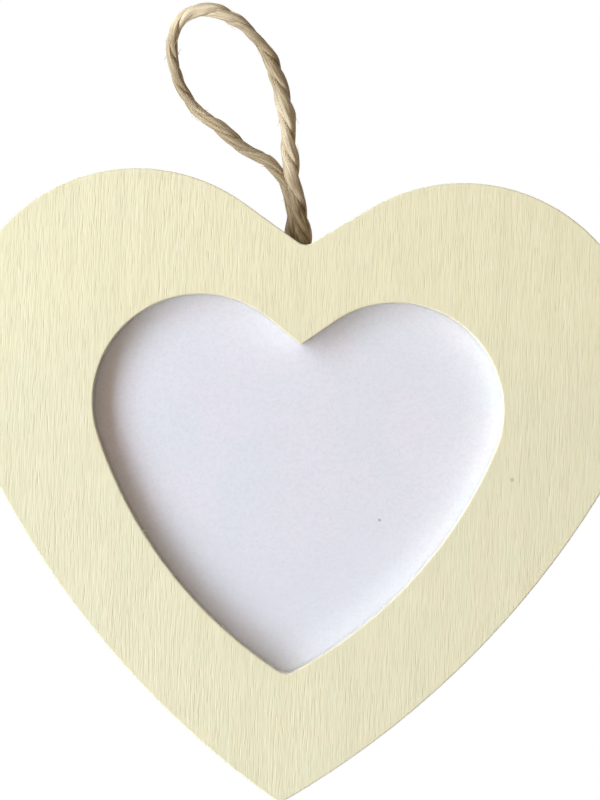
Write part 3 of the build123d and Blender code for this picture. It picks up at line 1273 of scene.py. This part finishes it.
@dataclass
class WoodenHeart:
    """The two plywood layers that are glued face to face, with a few splinters left by the saw."""

    layers: tuple[str, ...] = ("front_panel", "rear_ring")
    splinters: tuple[Point, ...] = (
        (6.63, -88.03, 55.0),
        (-6.11, -74.58, 62.0),
        (10.67, -91.46, 68.0),
    )
    splinter_length: float = 0.85 * MM
    splinter_radius: float = 0.10 * MM
    splinter_tip: float = 0.4
    splinter_shown: float = 0.3
    splinter_tilt: float = -0.15
    edge_depth: float = 0.3 * MM

    def splinter(self, near: Vector, lean: float) -> bpy.types.Object:
        """Raise one splinter on the panel's front edge.

        Args:
            near: A place close to where it stands.
            lean: How far its tip leans to the right of upright.

        Returns:
            The splinter.
        """
        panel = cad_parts[self.layers[0]]
        edge = [vertex.co for vertex in panel.data.vertices if vertex.co.y < near.y]
        foot = min(edge, key=lambda point: (point - near).length)
        way = Vector((math.sin(lean), self.splinter_tilt, math.cos(lean)))
        deselect_all()
        bpy.ops.mesh.primitive_cone_add(
            vertices=6,
            radius1=self.splinter_radius,
            radius2=self.splinter_tip * self.splinter_radius,
            depth=self.splinter_length,
            location=foot + way * self.splinter_shown * self.splinter_length,
            rotation=way.to_track_quat("Z", "Y").to_euler(),
        )
        bpy.ops.object.transform_apply()
        return bpy.context.object

    def build(self, effects: Effects) -> bpy.types.Object:
        """Paint both layers and add the splinters.

        Args:
            effects: The shared node groups.

        Returns:
            The splinters, joined into one piece.
        """
        paint = PaintedPly().material(effects)
        for layer in self.layers:
            dress(layer, paint)
        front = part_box(self.layers[0])[0].y + self.edge_depth
        pieces = [
            self.splinter(Vector((across * MM, front, up * MM)), math.radians(lean))
            for across, up, lean in self.splinters
        ]
        deselect_all()
        for piece in pieces:
            piece.select_set(True)
        bpy.context.view_layer.objects.active = pieces[0]
        bpy.ops.object.join()
        joined = bpy.context.object
        joined.name = "edge_splinters"
        joined.data.materials.append(paint)
        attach(joined, BODY)
        return joined


@dataclass
class PhotoPack:
    """What lies in the rebate: the film, the card and the board behind them."""

    pane: str = "clear_pane"
    card: str = "photo_insert"
    board: str = "backing_board"
    film_clearance: float = 0.02 * MM
    weld: float = 0.001 * MM

    def film(self, material: bpy.types.Material) -> bpy.types.Object:
        """Lay the film in the pane's place, a hair clear of the lip and the card.

        Args:
            material: Its finish.

        Returns:
            The film.
        """
        low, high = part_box(self.pane)
        share = 1 - 2 * self.film_clearance / (high.y - low.y)
        sheet = bpy.data.objects.new("film_sheet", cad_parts[self.pane].data.copy())
        bpy.context.collection.objects.link(sheet)
        deselect_all()
        sheet.select_set(True)
        bpy.context.view_layer.objects.active = sheet
        bpy.ops.object.mode_set(mode="EDIT")
        bpy.ops.mesh.select_all(action="SELECT")
        bpy.ops.mesh.remove_doubles(threshold=self.weld)
        bpy.ops.transform.resize(value=(1.0, share, 1.0), center_override=(low + high) / 2)
        bpy.ops.object.mode_set(mode="OBJECT")
        sheet.data.materials.clear()
        sheet.data.materials.append(material)
        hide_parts(self.pane)
        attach(sheet, BODY)
        return sheet

    def build(self, effects: Effects) -> bpy.types.Object:
        """Give each layer its finish.

        Args:
            effects: The shared node groups.

        Returns:
            The film, the one new piece.
        """
        dress(self.card, WhiteCard().material(effects))
        dress(self.board, Hardboard().material(effects))
        return self.film(ClearFilm().material(effects))


@dataclass
class TurnButtons:
    """The four turn buttons and the screws that they turn on."""

    names: tuple[str, ...] = ("turn_button_", "button_screw_")

    def build(self, effects: Effects) -> None:
        """Plate the buttons and their screws.

        Args:
            effects: The shared node groups.
        """
        brass = PlatedBrass().material(effects)
        for corner in Corner:
            for name in self.names:
                dress(name + corner.value, brass)


@dataclass(frozen=True)
class WindowPart:
    """A tall soft lamp to the left of the frame, like a part of a window.

    Its angle is the one between the way to the lamp and the way to the camera, its power is in watts.
    """

    name: str
    from_front: float
    width: float
    power: float
    colour: Colour


@dataclass
class Studio:
    """Camera, lamps, world and floor."""

    view_middle: Span = (16.257 * MM, -55.05 * MM)
    view_height: float = 115.54 * MM
    view_lean: float = math.radians(2.587)
    lens: float = 130.0
    sensor: float = 36.0
    near_clip: float = 0.01
    window: tuple[WindowPart, ...] = (
        WindowPart("key_lamp", math.radians(53), 0.395, 11.4, (0.92, 1.02, 1.135)),
        WindowPart("spill_lamp", math.radians(21), 0.34, 0.86, (1.12, 0.86, 0.70)),
    )
    window_distance: float = 0.75
    window_below: float = math.radians(4)
    window_height: float = 1.70
    left_light: Colour = (0.326, 0.207, 0.130)
    right_light: Colour = (0.150, 0.093, 0.050)
    room_span: Span = (-0.6, 0.3)
    back_light: Colour = (0.78, 0.78, 0.78)
    back_span: Span = (-0.1, 0.35)
    floor_white: Colour = (0.97, 0.97, 0.97)
    floor_drop: float = 12 * MM
    floor_radius: float = 4.0
    floor_fade: Span = (0.045, 0.085)
    floor_stretch: float = 1.6
    floor_lamp_height: float = 0.7
    floor_lamp_size: float = 0.5
    floor_lamp_power: float = 3.9

    def build(self) -> None:
        """Set up the whole studio."""
        scene = bpy.context.scene
        scene.view_settings.view_transform = "Standard"
        self.camera(scene)
        self.world(scene)
        for part in self.window:
            self.window_lamp(part)
        self.floor_lamp(self.floor())

    def middle(self) -> Vector:
        """The point on the panel's front plane that the photograph is centred on."""
        return Vector((self.view_middle[0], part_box("front_panel")[0].y, self.view_middle[1]))

    def floor_middle(self) -> Vector:
        """The floor's point straight below the panel's middle."""
        low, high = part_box("front_panel")
        return Vector(((low.x + high.x) / 2, (low.y + high.y) / 2, low.z - self.floor_drop))

    def camera(self, scene: bpy.types.Scene) -> None:
        """Stand the camera where the photograph was taken from.

        Args:
            scene: The scene that it is for.
        """
        distance = self.view_height * self.lens / self.sensor
        turn = Matrix.Rotation(-self.view_lean, 3, "Y") @ Matrix.Rotation(math.pi / 2, 3, "X")
        deselect_all()
        bpy.ops.object.camera_add(
            location=self.middle() - Vector((0, distance, 0)), rotation=turn.to_euler()
        )
        camera = bpy.context.object
        camera.name = "photo_camera"
        camera.data.lens = self.lens
        camera.data.sensor_width = self.sensor
        camera.data.clip_start = self.near_clip
        scene.camera = camera

    def world(self, scene: bpy.types.Scene) -> None:
        """White where it is seen or mirrored. For the rest, a dim warm room before a pale backdrop.

        Args:
            scene: The scene that it is for.
        """
        world = bpy.data.worlds.new("studio")
        world.use_nodes = True
        shading = Shading(world.node_tree)
        seen = shading.node("ShaderNodeBackground")
        soft = world.node_tree.nodes["Background"]
        way = shading.parts(shading.node("ShaderNodeTexCoord").outputs["Generated"])
        room = shading.mix(shading.span(way["X"], *self.room_span), self.left_light, self.right_light)
        round_about = shading.mix(shading.span(way["Y"], *self.back_span), room, self.back_light)
        shading.fill(seen, {"Color": (1.0, 1.0, 1.0, 1.0), "Strength": 1.0})
        shading.fill(soft, {"Color": round_about, "Strength": 1.0})
        either = shading.either(self.shown_rays(shading), soft, seen)
        shading.feed(world.node_tree.nodes["World Output"].inputs["Surface"], either)
        scene.world = world

    def shown_rays(self, shading: Shading) -> Socket:
        """Find the rays that show the background: to the camera, in a mirror or through glass.

        Args:
            shading: The shading that asks.

        Returns:
            The socket with 1 for such a ray.
        """
        rays = shading.node("ShaderNodeLightPath").outputs
        mirrored = shading.math("MAXIMUM", rays["Is Glossy Ray"], rays["Is Transmission Ray"])
        return shading.math("MAXIMUM", rays["Is Camera Ray"], mirrored)

    def lamp(
        self, name: str, place: Vector, turn: Euler, power: float, **shape: object
    ) -> bpy.types.Object:
        """Add one soft lamp.

        Args:
            name: The lamp's name.
            place: Where it stands.
            turn: How it is turned from facing down.
            power: Its power in watts.
            shape: Further settings of its light.

        Returns:
            The lamp.
        """
        deselect_all()
        bpy.ops.object.light_add(type="AREA", location=place, rotation=turn)
        lamp = bpy.context.object
        lamp.name = name
        lamp.data.energy = power
        for setting, value in shape.items():
            setattr(lamp.data, setting, value)
        return lamp

    def window_lamp(self, part: WindowPart) -> None:
        """Stand one part of the window to the left of the frame, facing it.

        Args:
            part: The part.
        """
        aside, below = -math.sin(part.from_front), self.window_below
        way = Vector((aside * math.cos(below), -math.cos(part.from_front), aside * math.sin(below)))
        self.lamp(
            part.name,
            self.middle() + way * self.window_distance,
            (-way).to_track_quat("-Z", "Y").to_euler(),
            part.power,
            shape="RECTANGLE",
            size=part.width,
            size_y=self.window_height,
            color=part.colour,
        )

    def floor(self) -> bpy.types.Object:
        """Pale floor just below the heart's tip, white further out.

        Returns:
            The floor.
        """
        middle = self.floor_middle()
        deselect_all()
        bpy.ops.mesh.primitive_circle_add(
            vertices=96, radius=self.floor_radius, fill_type="NGON", location=(0, 0, middle.z)
        )
        floor = bpy.context.object
        floor.name = "floor"
        bpy.ops.object.transform_apply(location=True)
        floor.visible_shadow = False
        floor.visible_diffuse = False
        bench = Bench("pale_floor")
        offset = bench.vector("SUBTRACT", bench.place, tuple(middle))
        squeezed = bench.vector("MULTIPLY", offset, (1 / self.floor_stretch, 1.0, 1.0))
        away = bench.operate("ShaderNodeVectorMath", "LENGTH", (squeezed,))["Value"]
        far = bench.times(bench.span(away, *self.floor_fade), self.shown_rays(bench))
        bench.finish(
            {"Base Color": (*self.floor_white, 1.0), "Roughness": 0.9, "Specular IOR Level": 0.1}
        )
        bench.cover(far, bench.node("ShaderNodeEmission"))
        floor.data.materials.append(bench.material)
        return floor

    def floor_lamp(self, floor: bpy.types.Object) -> None:
        """Soft lamp overhead that lights only the floor, for the shadow under the frame.

        Args:
            floor: The floor.
        """
        place = self.floor_middle()
        place.y = 0.0
        place.z += self.floor_lamp_height
        lamp = self.lamp(
            "floor_lamp", place, Euler(), self.floor_lamp_power, shape="DISK", size=self.floor_lamp_size
        )
        lit = bpy.data.collections.new("lit_from_above")
        lit.objects.link(floor)
        lamp.light_linking.receiver_collection = lit


def main() -> None:
    """Build the pieces, dress them and set up the studio."""
    logging.basicConfig(level=logging.INFO, format="%(message)s")
    effects = Effects()
    Studio().build()
    LOG.info("studio ready")
    for piece in TwineLoop().build(JuteFibre().material(effects)):
        LOG.info("%s has %d faces", piece.name, len(piece.data.polygons))
    splinters = WoodenHeart().build(effects)
    LOG.info("wooden layers painted, %s has %d faces", splinters.name, len(splinters.data.polygons))
    film = PhotoPack().build(effects)
    LOG.info("card and board dressed, %s has %d faces", film.name, len(film.data.polygons))
    TurnButtons().build(effects)
    LOG.info("turn buttons plated")


if __name__ == "__main__":
    main()
